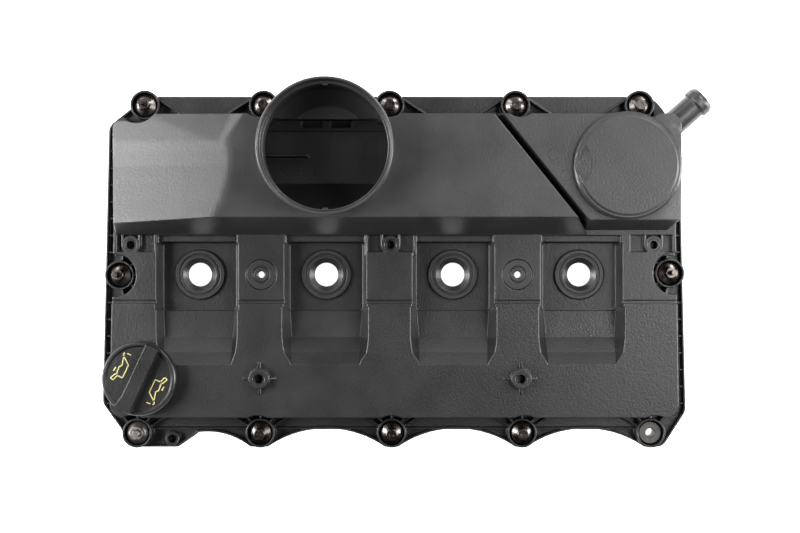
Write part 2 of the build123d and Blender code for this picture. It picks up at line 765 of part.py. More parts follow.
def plenum_block(inset):
    section = panel_section(PLENUM_FRONT, PLENUM_FRONT_TOP, PLENUM_BACK, PLENUM_BACK_TOP, inset)
    block = cross_prism(section, PLENUM_LEFT, 200) & left_of_gap(-inset, 0, PANEL_TOP)
    cuts = [beyond(points, (0, 0, 1), inset) for points in facets]
    cuts.append(beyond(end_wall, (-1, 0, 0), inset))
    for x, y, radius in back_bites:
        cuts.append(rod(x, y, radius + inset, 0, PANEL_TOP + 5))
    back = END_BACK - inset
    left = PLENUM_LEFT + inset
    cuts.append(box(left - 10, back_row[0][0] - 5, back, back + 20, 0, PANEL_TOP))
    corner = box(left - 10, left + END_RADIUS, back - END_RADIUS, back + 20, 0, PANEL_TOP)
    cuts.append(corner - rod(left + END_RADIUS, back - END_RADIUS, END_RADIUS, 0, PANEL_TOP))
    return block - cuts


def plenum_shell():
    mouth = turned(
        [
            (0, CONE_LOW), (CONE_RADIUS, CONE_LOW), (MOUTH_TUBE, CONE_HIGH), (MOUTH_TUBE, MOUTH_TOP - 6),
            (MOUTH_RADIUS, MOUTH_TOP - 5), (MOUTH_RADIUS, MOUTH_TOP - 0.8),
            (MOUTH_RADIUS - 0.6, MOUTH_TOP), (0, MOUTH_TOP),
        ],
        MOUTH_X, MOUTH_Y,
    )
    throat = turned(
        [
            (0, CONE_LOW + WALL), (CONE_RADIUS - WALL, CONE_LOW + WALL), (MOUTH_THROAT, CONE_HIGH + 2),
            (MOUTH_THROAT, MOUTH_LEDGE), (MOUTH_BORE, MOUTH_LEDGE), (MOUTH_BORE, MOUTH_TOP + 1),
            (0, MOUTH_TOP + 1),
        ],
        MOUTH_X, MOUTH_Y,
    )
    shell = (plenum_block(0) + mouth) - [plenum_block(WALL), throat]
    # Two small locating tabs, flush with the ledge, reach into the throat
    for side in (-1, 1):
        y = MOUTH_Y + side * MOUTH_THROAT
        shell += box(
            MOUTH_X - TAB_HALF, MOUTH_X + TAB_HALF, y - TAB_REACH, y + TAB_REACH, MOUTH_LEDGE - WALL, MOUTH_LEDGE
        )
    return shell


# ------------------------------------------------------------------------------------------------
# Oil separator with its vent valve
# ------------------------------------------------------------------------------------------------

def separator_block(inset):
    section = panel_section(SEPARATOR_FRONT, SEPARATOR_FRONT_TOP, PLENUM_BACK - 0.1, PLENUM_BACK_TOP, inset)
    block = cross_prism(section, 60, SEPARATOR_RIGHT - inset)
    foot_start, foot_end = gap_line(GAP_FOOT)
    top_start, _ = gap_line(GAP_TOP)
    slope = [(*foot_start, WELD), (*foot_end, WELD), (*top_start, PANEL_TOP)]
    cuts = [beyond(slope, (-1, -1, 0), inset)]
    corner = [
        (SEPARATOR_RIGHT, SEPARATOR_FRONT + 9, 0), (SEPARATOR_RIGHT - 6, SEPARATOR_FRONT, 0),
        (SEPARATOR_RIGHT, SEPARATOR_FRONT + 9, 50),
    ]
    cuts.append(beyond(corner, (1, -1, 0), inset))
    round_x = SEPARATOR_RIGHT - SEPARATOR_CORNER
    round_y = PLENUM_BACK_TOP - SEPARATOR_CORNER
    rear_corner = box(round_x, round_x + 30, round_y, round_y + 30, 0, PANEL_TOP + 5)
    cuts.append(rear_corner - rod(round_x, round_y, SEPARATOR_CORNER - inset, 0, PANEL_TOP + 5))
    for x, y, radius in back_bites:
        cuts.append(rod(x, y, radius + inset, 0, PANEL_TOP + 5))
    return block - cuts


def lying_rod(radius, length, back=0.0):
    """Cylinder along the hose stub's axis, its start moved back towards the separator."""
    way = (cos(radians(STUB_ANGLE)), sin(radians(STUB_ANGLE)))
    origin = (STUB_START[0] - way[0] * back, STUB_START[1] - way[1] * back, STUB_Z)
    return Plane(origin=origin, z_dir=(*way, 0)) * Pos(0, 0, length / 2) * Cylinder(radius, length)


def separator_shell():
    shell = separator_block(0) - separator_block(WALL)
    bead = Plane(
        origin=(
            STUB_START[0] + (STUB_LENGTH - BEAD_LENGTH) * cos(radians(STUB_ANGLE)),
            STUB_START[1] + (STUB_LENGTH - BEAD_LENGTH) * sin(radians(STUB_ANGLE)),
            STUB_Z,
        ),
        z_dir=(cos(radians(STUB_ANGLE)), sin(radians(STUB_ANGLE)), 0),
    ) * revolve(
        Plane.XZ * make_face(
            Polyline(
                (0, 0), (STUB_RADIUS, 0), (BEAD_RADIUS, 1.2), (BEAD_RADIUS, BEAD_LENGTH - 3),
                (STUB_RADIUS, BEAD_LENGTH), (0, BEAD_LENGTH), close=True,
            ).edges()
        ),
        Axis.Z,
    )
    shell += [
        rod(LID_X, LID_Y, LID_ROOM + CUP_WALL, CUP_FLOOR - CUP_WALL, PANEL_TOP - 1),
        lying_rod(STUB_RADIUS, STUB_LENGTH),
        bead,
    ]
    shell -= [
        rod(LID_X, LID_Y, LID_ROOM, CUP_FLOOR, PANEL_TOP + 1),
        rod(LID_X, LID_Y, DIAPHRAGM_RADIUS + FIT_GAP, PANEL_TOP - DIAPHRAGM_RIM, PANEL_TOP + 1),
        lying_rod(STUB_BORE, STUB_LENGTH + 2, back=1),
    ]
    shell += rod(LID_X, LID_Y, OUTLET_RADIUS, WELD, OUTLET_TOP)
    holes = [rod(LID_X, LID_Y, OUTLET_BORE, WELD - 1, OUTLET_TOP + 1)]
    for angle in (30, 150, 270):
        x = LID_X + 21 * cos(radians(angle))
        y = LID_Y + 21 * sin(radians(angle))
        holes.append(rod(x, y, GAS_HOLE, CUP_FLOOR - CUP_WALL - 1, CUP_FLOOR + 1))
    return shell - holes


def vent_lid():
    scoop = turned(
        [
            (0, LID_TOP - 0.2 * SCOOP_RADIUS), (SCOOP_RADIUS, LID_TOP), (SCOOP_RADIUS, LID_TOP + 2),
            (0, LID_TOP + 2),
        ],
        SCOOP_X, SCOOP_Y,
    )
    lid = turned(
        [
            (0, LID_TOP - 2.5), (LID_ROOM, LID_TOP - 2.5), (LID_ROOM, PANEL_TOP), (LID_RADIUS, PANEL_TOP),
            (LID_RADIUS, LID_TOP - 2.6), (LID_RADIUS - 1.6, LID_TOP - 1.4),
            (LID_RADIUS - 2.8, LID_TOP - 1.4), (LID_RADIUS - 4.2, LID_TOP), (0, LID_TOP),
        ],
        LID_X, LID_Y,
    )
    return lid - scoop


def vent_diaphragm():
    """Rubber disc with one roll, its thicker rim held between the lid and the separator."""
    rim = PANEL_TOP - DIAPHRAGM_RIM
    return turned(
        [
            (0, VALVE_HIGH + BODY_GAP), (20, VALVE_HIGH + BODY_GAP), (24, rim - 1), (28, rim),
            (DIAPHRAGM_RADIUS, rim), (DIAPHRAGM_RADIUS, PANEL_TOP), (28.4, PANEL_TOP), (24, rim),
            (19.6, PANEL_TOP), (0, PANEL_TOP),
        ],
        LID_X, LID_Y,
    )


def vent_plate():
    """Valve plate under the diaphragm, with a guide stem inside the outlet tube."""
    return turned(
        [
            (0, OUTLET_TOP - 6), (1.6, OUTLET_TOP - 6), (2.4, OUTLET_TOP - 5), (2.4, VALVE_LOW),
            (VALVE_RADIUS, VALVE_LOW), (VALVE_RADIUS, VALVE_HIGH), (0, VALVE_HIGH),
        ],
        LID_X, LID_Y,
    )


def vent_spring():
    """Weak coil spring round the outlet tube, between the cup's floor and the valve plate."""
    wire = 0.6
    coil = OUTLET_RADIUS + 1.8
    turns = 3
    rise = VALVE_LOW - CUP_FLOOR - 2 * wire
    path = Helix(pitch=rise / turns, height=rise, radius=coil)
    section = Plane(origin=path @ 0, z_dir=path % 0) * RegularPolygon(wire, 6)
    return Pos(LID_X, LID_Y, CUP_FLOOR + wire) * sweep(section, path=path)


def oil_baffle():
    """Shallow tray under the separator, its walls up against the body's roof, with gas slots."""
    roof = REAR_TOP - WALL
    plan = [(152.0, 46.0), (205.0, 46.0), (205.0, 109.5), (101.0, 109.5)]
    tray = extrude(Pos(0, 0, roof - 9) * rounded(plan, 5), amount=9)
    room = offset(rounded(plan, 5), amount=-1.8)
    tray -= extrude(Pos(0, 0, roof - 7.2) * room, amount=8)
    slots = []
    for k in range(5):
        slots.append(box(118 + 16 * k, 126 + 16 * k, 98, 101, roof - 10, roof - 6))
    # A gap in the wall at the rear left lets the gas in
    slots.append(box(100, 140, 106, 112, roof - 5, roof + 1))
    return tray - slots


# ------------------------------------------------------------------------------------------------
# Oil filler cap and its seal
# ------------------------------------------------------------------------------------------------

def filler_cap():
    ceiling = CAP_DECK - 2.5
    cap = turned(
        [
            (0, ceiling), (CAP_RADIUS - CAP_SKIRT, ceiling), (CAP_RADIUS - CAP_SKIRT, CAP_LOW),
            (CAP_RADIUS, CAP_LOW), (CAP_RADIUS, CAP_RIM - 0.8), (CAP_RADIUS - 0.8, CAP_RIM),
            (CAP_RADIUS - 2.8, CAP_RIM), (CAP_RADIUS - 3.4, CAP_DECK), (0, CAP_DECK),
        ],
        0, 0,
    )
    reach = CAP_RADIUS - 0.6
    half = GRIP_WIDTH / 2
    outline = [
        (reach, -half), (reach, half), (-GRIP_FLARE_START, half), (-reach, half + GRIP_FLARE),
        (-reach, -half),
    ]
    disc = Circle(reach)
    plan = make_face(Polyline(*outline, close=True).edges()) & disc
    grip = extrude(Pos(0, 0, CAP_DECK - 0.5) * plan, amount=GRIP_TOP - CAP_DECK + 0.5, taper=4)
    plug = tube(0, 0, PLUG_RADIUS, PLUG_RADIUS - WALL, PLUG_LOW, ceiling + 1)
    ceiling_plate = rod(0, 0, PLUG_RADIUS - WALL + 0.5, ceiling, CAP_DECK)
    whole = cap + [Rot(0, 0, GRIP_ANGLE) * grip, plug, ceiling_plate]
    return Pos(FILLER_X, FILLER_Y, 0) * whole


def cap_seal():
    low = NECK_TOP + BODY_GAP
    high = CAP_DECK - 2.5 - BODY_GAP
    return tube(FILLER_X, FILLER_Y, NECK_RADIUS - 0.4, PLUG_RADIUS + 0.5, low, high)


# ------------------------------------------------------------------------------------------------
# Rubber seals
# ------------------------------------------------------------------------------------------------

def injector_seal(x):
    """Lip seal round the injector: flange on the well's floor, neck through it."""
    neck = SEAL_HOLE - FIT_GAP
    top = WELL_FLOOR + 3
    return turned(
        [
            (INJECTOR_BORE + 1.4, WELL_FLOOR - 5), (neck, WELL_FLOOR - 5), (neck, WELL_FLOOR),
            (SEAL_RADIUS, WELL_FLOOR), (SEAL_RADIUS, top - 1), (SEAL_RADIUS - 0.8, top),
            (15.8, top), (15.4, top - 1.2), (14.4, top - 1.2), (14.2, top), (12.6, top),
            (INJECTOR_BORE, top - 2.4), (INJECTOR_BORE, WELL_FLOOR - 3.4),
        ],
        x, 0,
    )


def stud_seal(x):
    """Small round seal let into the rib between two wells."""
    top = REAR_TOP - 0.2
    return turned(
        [
            (2.5, REAR_TOP - 8), (STUD_HOLE - FIT_GAP, REAR_TOP - 8), (STUD_HOLE - FIT_GAP, REAR_TOP - 3),
            (STUD_SEAT - FIT_GAP, REAR_TOP - 3), (STUD_SEAT - FIT_GAP, top - 0.5),
            (STUD_SEAT - FIT_GAP - 0.5, top), (6.6, top), (6.2, top - 0.9), (5.6, top - 0.9),
            (5.2, top), (3.2, top), (2.5, top - 0.7),
        ],
        x, 0,
    )


def gasket():
    """Rubber gasket in the groove of the sealing face."""
    return extrude(seal_plan(FIT_GAP), amount=FLANGE_LOW + 3.2)


# ------------------------------------------------------------------------------------------------
# Fasteners
# ------------------------------------------------------------------------------------------------

def upright_set(profile, places):
    """The same turned piece at every place."""
    piece = turned(profile, 0, 0)
    return Compound(children=[Pos(x, y, 0) * piece for x, y in places])


def bolt_grommets():
    hole = SLEEVE_RADIUS + FIT_GAP
    neck = GROMMET_HOLE - FIT_GAP
    outer = COLLAR_BORE - 0.3
    return upright_set(
        [
            (hole, 2), (neck, 2), (neck, BOSS_FLOOR), (outer, BOSS_FLOOR), (outer, GROMMET_TOP - 1),
            (outer - 1, GROMMET_TOP), (hole, GROMMET_TOP),
        ],
        bolt_points,
    )


def bolt_sleeves():
    top = GROMMET_TOP + SLEEVE_FLANGE
    return upright_set(
        [
            (SLEEVE_BORE, 1), (SLEEVE_RADIUS, 1), (SLEEVE_RADIUS, GROMMET_TOP),
            (BOLT_FLANGE, GROMMET_TOP), (BOLT_FLANGE, top - 0.3), (BOLT_FLANGE - 0.3, top),
            (SLEEVE_BORE + 0.5, top), (SLEEVE_BORE, top - 0.5),
        ],
        bolt_points,
    )


def bolt_blank(across, hex_top):
    """Shank, domed flange and hexagon of a flange bolt, standing on z = 0 under the flange."""
    stem = turned(
        [
            (0, -BOLT_LENGTH), (SHANK_RADIUS - 0.6, -BOLT_LENGTH), (SHANK_RADIUS, -BOLT_LENGTH + 0.8),
            (SHANK_RADIUS, 0), (BOLT_FLANGE, 0), (BOLT_FLANGE, 0.8), (across / 2 + 0.4, 2.5),
            (across / 2 - 0.6, 3.0), (0, 3.0),
        ],
        0, 0,
    )
    hexagon = extrude(Pos(0, 0, 2.0) * RegularPolygon(across / 2, 6, major_radius=False), amount=hex_top - 2)
    crown = turned(
        [
            (0, 0), (across, 0), (across, hex_top - 1.6), (across / 2 - 0.3, hex_top), (0, hex_top),
        ],
        0, 0,
    )
    return stem + (hexagon & crown)


def tilted(shape, x, y, toward, lean):
    """Bolt put loosely in its sleeve, leaning by a few degrees towards the given side."""
    turn = Rot(0, 0, toward) * Rot(0, lean, 0) * Rot(0, 0, -toward)
    lift = SLEEVE_TOP + BOLT_FLANGE * sin(radians(lean)) + 0.02 - LEAN_HEIGHT
    return Pos(x, y, LEAN_HEIGHT) * turn * Pos(0, 0, lift) * shape


def flange_bolts():
    blank = bolt_blank(HEX_ACROSS, HEX_HEIGHT)
    recess = rod(0, 0, 1.7, HEX_HEIGHT - 0.8, HEX_HEIGHT + 1)
    bolt = blank - recess
    return Compound(children=[tilted(bolt, *place) for place in flange_bolt_places])


def stud_bolts():
    bolt = bolt_blank(HEX_ACROSS, HEX_HEIGHT) + rod(0, 0, STUD_RADIUS, HEX_HEIGHT - 1, STUD_TOP)
    return Compound(children=[tilted(bolt, *place) for place in stud_bolt_places])


def pilot_bolt():
    x, y = front_row[0]
    bolt = bolt_blank(PILOT_ACROSS, PILOT_HEIGHT) + turned(
        [(0, PILOT_HEIGHT - 1), (2.9, PILOT_HEIGHT - 1), (2.9, PILOT_HEIGHT + 2.4),
         (2.2, PILOT_HEIGHT + 3.2), (0, PILOT_HEIGHT + 3.2)],
        0, 0,
    )
    return tilted(bolt, x, y, 90.0, 1.0)


def screw_inserts():
    """Threaded metal inserts set flush in the screw bosses."""
    tops = [(x, y, REAR_TOP) for x, y in screw_bosses]
    tops += [(x, y, PANEL_BOSS_TOP) for x, y in panel_bosses]
    tops.append((LUG_X, LUG_Y, RIM_TOP))
    neck = INSERT_RADIUS - 0.7
    rings = []
    for x, y, top in tops:
        low = top - INSERT_LENGTH
        rings.append(
            turned(
                [
                    (INSERT_BORE, low), (INSERT_RADIUS, low), (INSERT_RADIUS, low + 3.6),
                    (neck, low + 4.0), (neck, low + 5.0), (INSERT_RADIUS, low + 5.4),
                    (INSERT_RADIUS, top), (INSERT_BORE, top),
                ],
                x, y,
            )
        )
    return Compound(children=rings)


parts = {}
parts["cover_body"] = cover_body()
parts["plenum_shell"] = plenum_shell()
parts["separator_shell"] = separator_shell()
parts["vent_lid"] = vent_lid()
parts["vent_diaphragm"] = vent_diaphragm()
parts["vent_plate"] = vent_plate()
parts["vent_spring"] = vent_spring()
parts["oil_baffle"] = oil_baffle()
parts["filler_cap"] = filler_cap()
parts["cap_seal"] = cap_seal()
for number, x in enumerate(injector_x, 1):
    parts[f"injector_seal_{number}"] = injector_seal(x)
parts["stud_seal_left"] = stud_seal(rib_x[0])
parts["stud_seal_right"] = stud_seal(rib_x[-1])
parts["gasket"] = gasket()
parts["bolt_grommets"] = bolt_grommets()
parts["bolt_sleeves"] = bolt_sleeves()
parts["flange_bolts"] = flange_bolts()
parts["stud_bolts"] = stud_bolts()
parts["pilot_bolt"] = pilot_bolt()
parts["screw_inserts"] = screw_inserts()

os.makedirs("parts", exist_ok=True)
for name, shape in parts.items():
    export_step(shape, f"parts/{name}.step")
    print(name, len(shape.solids()), round(shape.volume), shape.is_valid)
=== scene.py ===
import math

import bmesh
import bpy
from mathutils import Matrix, Vector


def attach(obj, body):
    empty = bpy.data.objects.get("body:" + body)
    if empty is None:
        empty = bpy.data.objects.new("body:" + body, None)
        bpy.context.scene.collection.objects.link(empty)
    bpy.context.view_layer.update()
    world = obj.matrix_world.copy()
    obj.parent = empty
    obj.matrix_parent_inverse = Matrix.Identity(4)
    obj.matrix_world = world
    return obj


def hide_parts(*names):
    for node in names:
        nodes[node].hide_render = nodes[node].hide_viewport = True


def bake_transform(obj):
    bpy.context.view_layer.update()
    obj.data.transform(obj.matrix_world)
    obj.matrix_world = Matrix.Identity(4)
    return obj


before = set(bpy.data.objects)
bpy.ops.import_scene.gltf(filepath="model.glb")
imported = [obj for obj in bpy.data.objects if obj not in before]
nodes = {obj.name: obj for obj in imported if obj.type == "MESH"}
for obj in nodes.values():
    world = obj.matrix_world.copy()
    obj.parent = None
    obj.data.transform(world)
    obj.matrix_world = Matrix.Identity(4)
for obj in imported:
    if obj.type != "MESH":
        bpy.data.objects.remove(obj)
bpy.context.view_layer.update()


# ---- Camera ----
# The part lies on its sealing face and is seen from straight above, from 1.3 m,
# with its long side level.
camera_spot = (0.0079, 0.0061, 1.3)
camera_lens = 76.0
camera_sensor = 36.0

camera_data = bpy.data.cameras.new("Camera")
camera_data.lens = camera_lens
camera_data.sensor_width = camera_sensor
camera = bpy.data.objects.new("Camera", camera_data)
camera.location = camera_spot
bpy.context.scene.collection.objects.link(camera)
bpy.context.scene.camera = camera


# ---- Floor and lights ----
# A white table lit from within, and soft boxes on both sides and behind. None hangs straight overhead,
# so that the flat tops stay dark and the sloping faces catch the light.
table_half = 4.0
table_level = -0.0002
table_white = 0.9
table_roughness = 0.9
table_glow = 1.0
room_glow = 0.02
lamp_distance = 1.75

bpy.context.scene.view_settings.view_transform = "Standard"

floor_mesh = bpy.data.meshes.new("floor")
floor_corners = [(-1, -1), (1, -1), (1, 1), (-1, 1)]
floor_points = [(x * table_half, y * table_half, table_level) for x, y in floor_corners]
floor_mesh.from_pydata(floor_points, [], [(0, 1, 2, 3)])
floor = bpy.data.objects.new("floor", floor_mesh)
bpy.context.scene.collection.objects.link(floor)
floor_paint = bpy.data.materials.new("white_table")
floor_paint.use_nodes = True
floor_shader = floor_paint.node_tree.nodes["Principled BSDF"]
floor_shader.inputs["Base Color"].default_value = (table_white, table_white, table_white, 1)
floor_shader.inputs["Roughness"].default_value = table_roughness
floor_shader.inputs["Emission Color"].default_value = (1, 1, 1, 1)
floor_shader.inputs["Emission Strength"].default_value = table_glow
floor_mesh.materials.append(floor_paint)

world = bpy.data.worlds.new("studio")
world.use_nodes = True
room = world.node_tree.nodes["Background"]
room.inputs["Color"].default_value = (1, 1, 1, 1)
room.inputs["Strength"].default_value = room_glow
bpy.context.scene.world = world


def soft_light(name, side, back, width, height, brightness):
    """A soft box aimed at the cover, so many degrees to the right and to the back of straight above."""
    way = Vector((math.tan(math.radians(side)), math.tan(math.radians(back)), 1.0)).normalized()
    lamp = bpy.data.lights.new(name, "AREA")
    lamp.shape = "RECTANGLE"
    lamp.size = width
    lamp.size_y = height
    lamp.energy = brightness * math.pi * width * height
    holder = bpy.data.objects.new(name, lamp)
    turn = (-way).to_track_quat("-Z", "Y").to_matrix().to_4x4()
    holder.matrix_world = Matrix.Translation(way * lamp_distance) @ turn
    bpy.context.scene.collection.objects.link(holder)


# Degrees to the right, degrees to the back, width and height in metres, and brightness
soft_light("left_rear_box", -36, 42, 0.36, 0.64, 11.8)
soft_light("left_upper_box", -36, 22, 0.36, 0.64, 5.0)
soft_light("left_near_box", -36, -6, 0.36, 0.64, 7.0)
soft_light("left_box", -52, 5, 0.5, 1.4, 21.6)
soft_light("left_low_box", -68, 0, 0.6, 1.8, 2.7)
soft_light("right_rear_box", 36, 42, 0.36, 0.64, 25.7)
soft_light("right_upper_box", 24, 22, 0.36, 0.64, 4.2)
soft_light("right_near_box", 24, 0, 0.36, 0.64, 9.5)
soft_light("right_low_box", 68, 0, 0.6, 1.8, 19.1)
soft_light("rear_low_box", 0, 62, 2.0, 0.6, 2.0)


# ---- Cover body ----
# The hollow black moulding in glass-filled nylon: a fine eroded grain from the tool, a soft sheen,
# and edges rounded by about a millimetre. The oil baffle under the roof is of the same nylon.

# Patterns per metre of the shading, the leathery waves and the fine specks, and how deep the last two are
cloud_scale = 38.0
leather_scale = 650.0
leather_depth = 0.0004
speck_scale = 1700.0
speck_depth = 0.0002
# Least and most brightness of the clouds and of the specks, the noise values between which the clouds
# change, and the spread of the gloss
cloud_shade = (0.85, 1.15)
cloud_span = (0.3, 0.7)
speck_shade = (0.8, 1.2)
gloss_spread = 0.06


def times(tone, share):
    """A colour made lighter or darker."""
    return (*(value * share for value in tone), 1)


def moulded_plastic(name, tone, roughness, grain=0.05, edge=0.0005):
    """Dark moulded plastic with a fine eroded grain and small rounded edges."""
    paint = bpy.data.materials.new(name)
    paint.use_nodes = True
    tree = paint.node_tree
    shader = tree.nodes["Principled BSDF"]
    place = tree.nodes.new("ShaderNodeTexCoord")

    cloud = tree.nodes.new("ShaderNodeTexNoise")
    cloud.inputs["Scale"].default_value = cloud_scale
    cloud.inputs["Detail"].default_value = 3.0
    tree.links.new(place.outputs["Object"], cloud.inputs["Vector"])
    shade = tree.nodes.new("ShaderNodeMapRange")
    shade.inputs["From Min"].default_value, shade.inputs["From Max"].default_value = cloud_span
    shade.inputs["To Min"].default_value, shade.inputs["To Max"].default_value = cloud_shade
    tree.links.new(cloud.outputs["Fac"], shade.inputs["Value"])

    speck = tree.nodes.new("ShaderNodeTexNoise")
    speck.inputs["Scale"].default_value = speck_scale
    speck.inputs["Detail"].default_value = 2.0
    tree.links.new(place.outputs["Object"], speck.inputs["Vector"])

    tint = tree.nodes.new("ShaderNodeMix")
    tint.data_type = "RGBA"
    tint.inputs["A"].default_value = times(tone, speck_shade[0])
    tint.inputs["B"].default_value = times(tone, speck_shade[1])
    tree.links.new(speck.outputs["Fac"], tint.inputs["Factor"])
    whole = tree.nodes.new("ShaderNodeVectorMath")
    whole.operation = "SCALE"
    tree.links.new(tint.outputs["Result"], whole.inputs[0])
    tree.links.new(shade.outputs["Result"], whole.inputs["Scale"])
    tree.links.new(whole.outputs["Vector"], shader.inputs["Base Color"])

    gloss = tree.nodes.new("ShaderNodeMapRange")
    gloss.inputs["To Min"].default_value = roughness - gloss_spread
    gloss.inputs["To Max"].default_value = roughness + gloss_spread
    tree.links.new(cloud.outputs["Fac"], gloss.inputs["Value"])
    tree.links.new(gloss.outputs["Result"], shader.inputs["Roughness"])

    leather = tree.nodes.new("ShaderNodeTexNoise")
    leather.inputs["Scale"].default_value = leather_scale
    leather.inputs["Detail"].default_value = 1.0
    tree.links.new(place.outputs["Object"], leather.inputs["Vector"])

    edges = tree.nodes.new("ShaderNodeBevel")
    edges.samples = 6
    edges.inputs["Radius"].default_value = edge
    waves = tree.nodes.new("ShaderNodeBump")
    waves.inputs["Strength"].default_value = grain
    waves.inputs["Distance"].default_value = leather_depth
    tree.links.new(leather.outputs["Fac"], waves.inputs["Height"])
    tree.links.new(edges.outputs["Normal"], waves.inputs["Normal"])
    relief = tree.nodes.new("ShaderNodeBump")
    relief.inputs["Strength"].default_value = grain
    relief.inputs["Distance"].default_value = speck_depth
    tree.links.new(speck.outputs["Fac"], relief.inputs["Height"])
    tree.links.new(waves.outputs["Normal"], relief.inputs["Normal"])
    tree.links.new(relief.outputs["Normal"], shader.inputs["Normal"])
    return paint


def dress(node, paint):
    """Gives a carried-over solid its finish."""
    mesh = nodes[node].data
    mesh.materials.clear()
    mesh.materials.append(paint)


body_plastic = moulded_plastic("body_plastic", (0.010, 0.010, 0.0105), 0.32, grain=0.3, edge=0.0011)
dress("cover_body", body_plastic)
dress("oil_baffle", body_plastic)


# ---- Intake plenum ----
# The upper half of the plenum with the round air mouth, moulded in nylon and welded on. Its left end slopes
# down in facets. The tool's folds are rolled and bowed, and the small facet at the back is sunk: the solid
# has them straight and sharp, so its top skin is redrawn here. Sizes are in millimetres.

plenum_top = 72.0
# Planes of the solid: a point on each and how much it rises to the right and to the back
facet_point = (-117.1, 90.8, plenum_top)
facet_rise = (0.14655, -0.03182)
rear_facet_point = (-171.2, 115.0, 63.3)
rear_facet_rise = (0.1373, -0.0549)
# The bowed fold: how far back, and how far to the right of the straight one
fold_bow = [(40.6, 0.0), (54.4, 2.8), (67.0, 4.2), (79.9, 4.5), (90.0, 1.5), (98.0, -2.0)]
fold_roll = 0.5
# The sunk facet leaves the long one at a line, and a short riser brings it up again: a point on the line,
# the way across it, and how much the height changes that way
sunk_point = (-171.2, 115.0)
sunk_way = (0.3590, 0.9333)
sunk_rise = -0.075
sunk_roll = 0.2
riser_point = (-107.1, 116.8)
riser_way = (-0.8386, 0.547)
riser_rise = -0.30
riser_roll = 0.25
# What is redrawn (left, right, front, back), how finely, and how thick the skin is that moves along
plenum_area = (-206.0, -102.0, 36.0, 120.0)
plenum_step = 2.0
plenum_skin = 4.0
# Corners closer than this, in metres, are one
weld_reach = 0.000001


def soft_low(a, b, roll):
    """The lower of two heights, rolled over where they cross."""
    share = min(max(0.5 + 0.5 * (b - a) / roll, 0.0), 1.0)
    return b + (a - b) * share - roll * share * (1 - share)


def plane_at(point, rise, x, y):
    """Height of the plane through a point."""
    return point[2] + rise[0] * (x - point[0]) + rise[1] * (y - point[1])


def across(point, way, x, y):
    """How far a place lies across a line."""
    return (x - point[0]) * way[0] + (y - point[1]) * way[1]


def bow(y):
    """How far the fold stands to the right of the straight one, at this depth of the cover."""
    if y <= fold_bow[0][0]:
        return fold_bow[0][1]
    for (y0, x0), (y1, x1) in zip(fold_bow, fold_bow[1:]):
        if y <= y1:
            return x0 + (x1 - x0) * (y - y0) / (y1 - y0)
    return fold_bow[-1][1]


def plenum_solid(x, y):
    """Height of the solid's top."""
    return min(plenum_top, plane_at(facet_point, facet_rise, x, y), plane_at(rear_facet_point, rear_facet_rise, x, y))


def plenum_rolled(x, y):
    """Height of the finished top."""
    facet = plane_at(facet_point, facet_rise, x, y) - facet_rise[0] * bow(y)
    sunk = facet + sunk_rise * across(sunk_point, sunk_way, x, y)
    riser = plenum_top + riser_rise * across(riser_point, riser_way, x, y)
    rear = -soft_low(-sunk, -riser, riser_roll)
    return soft_low(plenum_top, soft_low(facet, rear, sunk_roll), fold_roll)


def cut_along(work, axis, level, left, right):
    """Cuts the mesh along one upright plane, and past the first axis only between left and right."""
    cut = []
    for face in work.faces:
        sides = [corner.co[axis] for corner in face.verts]
        middle = sum(corner.co.x for corner in face.verts) / len(face.verts)
        if min(sides) < level < max(sides) and (axis == 0 or left <= middle <= right):
            cut.append(face)
    edges = {edge for face in cut for edge in face.edges}
    corners = {corner for face in cut for corner in face.verts}
    spot, way = Vector((0, 0, 0)), Vector((0, 0, 0))
    spot[axis], way[axis] = level, 1.0
    bmesh.ops.bisect_plane(work, geom=[*cut, *edges, *corners], plane_co=spot, plane_no=way)


def redrawn(name, node, area, step, skin, before, after, paint, crease=25.0):
    """A copy of a solid with its top skin moved from one height to the other, cut finely enough to curve."""
    left, right, front, back = area
    work = bmesh.new()
    work.from_mesh(nodes[node].data)
    # The faces come apart at the solid's creases, so those edges are marked sharp before the faces are joined
    for edge in work.edges:
        edge.smooth = not edge.is_boundary
    bmesh.ops.remove_doubles(work, verts=work.verts, dist=weld_reach)
    for axis, low, high in ((0, left, right), (1, front, back)):
        for count in range(round((high - low) / step) + 1):
            cut_along(work, axis, (low + count * step) / 1000, left / 1000, right / 1000)
    for corner in work.verts:
        x, y, z = (1000 * value for value in corner.co)
        if left <= x <= right and front <= y <= back:
            top = before(x, y)
            # All of the skin moves along, and the walls below it fade out over one more skin
            share = min(max((z - top + 2 * skin) / skin, 0.0), 1.0)
            corner.co.z += (after(x, y) - top) * share / 1000
    bmesh.ops.remove_doubles(work, verts=work.verts, dist=weld_reach)
    bmesh.ops.triangulate(work, faces=[face for face in work.faces if len(face.verts) > 3])
    for face in work.faces:
        face.smooth = True
    for edge in work.edges:
        if edge.is_manifold and edge.calc_face_angle() > math.radians(crease):
            edge.smooth = False
    mesh = bpy.data.meshes.new(name)
    work.to_mesh(mesh)
    work.free()
    mesh.materials.append(paint)
    piece = bpy.data.objects.new(name, mesh)
    bpy.context.scene.collection.objects.link(piece)
    return piece


plenum_plastic = moulded_plastic("plenum_plastic", (0.024, 0.024, 0.025), 0.31, grain=0.15, edge=0.0014)
plenum = redrawn(
    "plenum_top", "plenum_shell", plenum_area, plenum_step, plenum_skin, plenum_solid, plenum_rolled, plenum_plastic
)
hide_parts("plenum_shell")
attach(plenum, "cover")


# ---- Oil separator ----
# The upper half of the separator with the hose stub, moulded in the same nylon and welded on. Its two
# right-hand corners roll off outside the lid. Sizes are in millimetres.
separator_top = 72.0
lid_centre = (173.3, 79.2)
shoulder_start = 195.0
shoulder_curve = 0.0041
